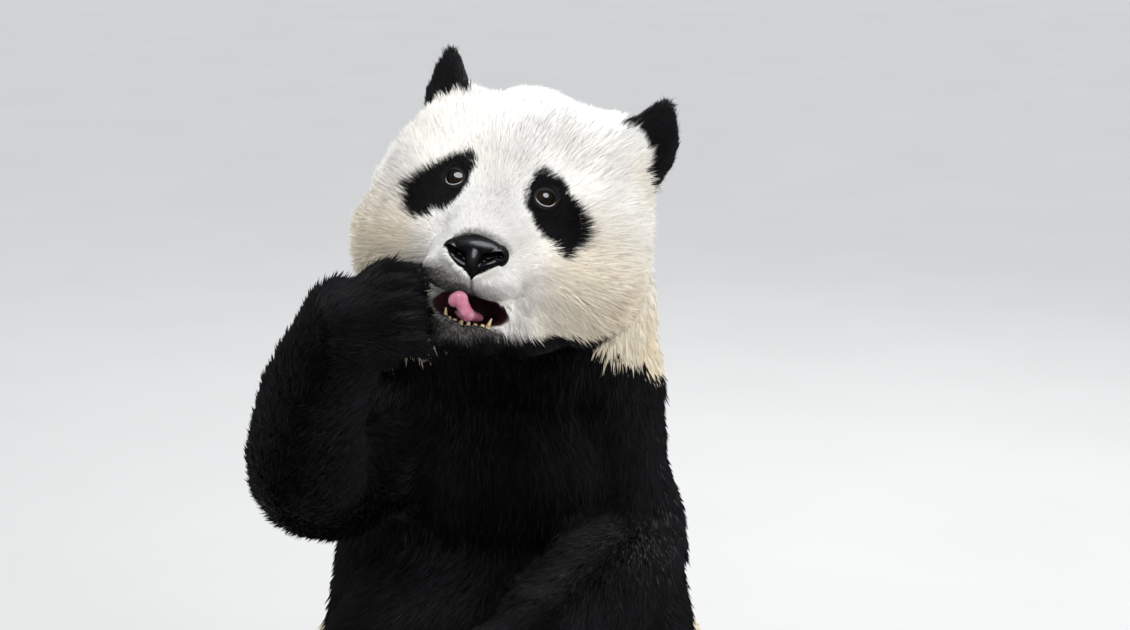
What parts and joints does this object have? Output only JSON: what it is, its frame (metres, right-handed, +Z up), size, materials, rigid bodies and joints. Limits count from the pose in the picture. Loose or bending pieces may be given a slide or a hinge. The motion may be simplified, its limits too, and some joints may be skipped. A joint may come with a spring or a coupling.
{
  "type": "giant panda",
  "caption": "Life-size still model of a giant panda that sits upright on its rump with one forepaw raised to its open mouth.",
  "frame": {"origin": "centre of the flat under the rump, on the floor the animal sits on", "axes": "+Z up, -Y the way the animal faces, +X towards its own left side"},
  "size_m": [0.7312, 0.7694, 0.9725],
  "materials": {
    "white_coat": "dense white fur, cream on the cheeks",
    "black_coat": "dense black fur with a faint sheen",
    "nose_leather": "moist black skin",
    "eye": "wet dark brown",
    "claw": "worn horn",
    "tongue": "moist pink flesh"
  },
  "bodies": {
    "root": {"head": "white_coat", "jaw": "white_coat", "neck": "white_coat", "chest": "black_coat", "belly": "white_coat", "tail": "white_coat", "nose": "nose_leather", "tongue": "tongue", "eye_left": "eye", "eye_right": "eye", "ear_left": "black_coat", "ear_right": "black_coat", "upper_arm_left": "black_coat", "forearm_left": "black_coat", "forepaw_left": "black_coat", "thigh_left": "black_coat", "shank_left": "black_coat", "hind_foot_left": "black_coat", "upper_arm_right": "black_coat", "forearm_right": "black_coat", "forepaw_right": "black_coat", "thigh_right": "black_coat", "shank_right": "black_coat", "hind_foot_right": "black_coat", "fore_claw_left_1": "claw", "fore_claw_left_2": "claw", "fore_claw_left_3": "claw", "fore_claw_left_4": "claw", "fore_claw_left_5": "claw", "fore_claw_right_1": "claw", "fore_claw_right_2": "claw", "fore_claw_right_3": "claw", "fore_claw_right_4": "claw", "fore_claw_right_5": "claw", "hind_claw_left_1": "claw", "hind_claw_left_2": "claw", "hind_claw_left_3": "claw", "hind_claw_left_4": "claw", "hind_claw_left_5": "claw", "hind_claw_right_1": "claw", "hind_claw_right_2": "claw", "hind_claw_right_3": "claw", "hind_claw_right_4": "claw", "hind_claw_right_5": "claw"}
  },
  "joints": []
}
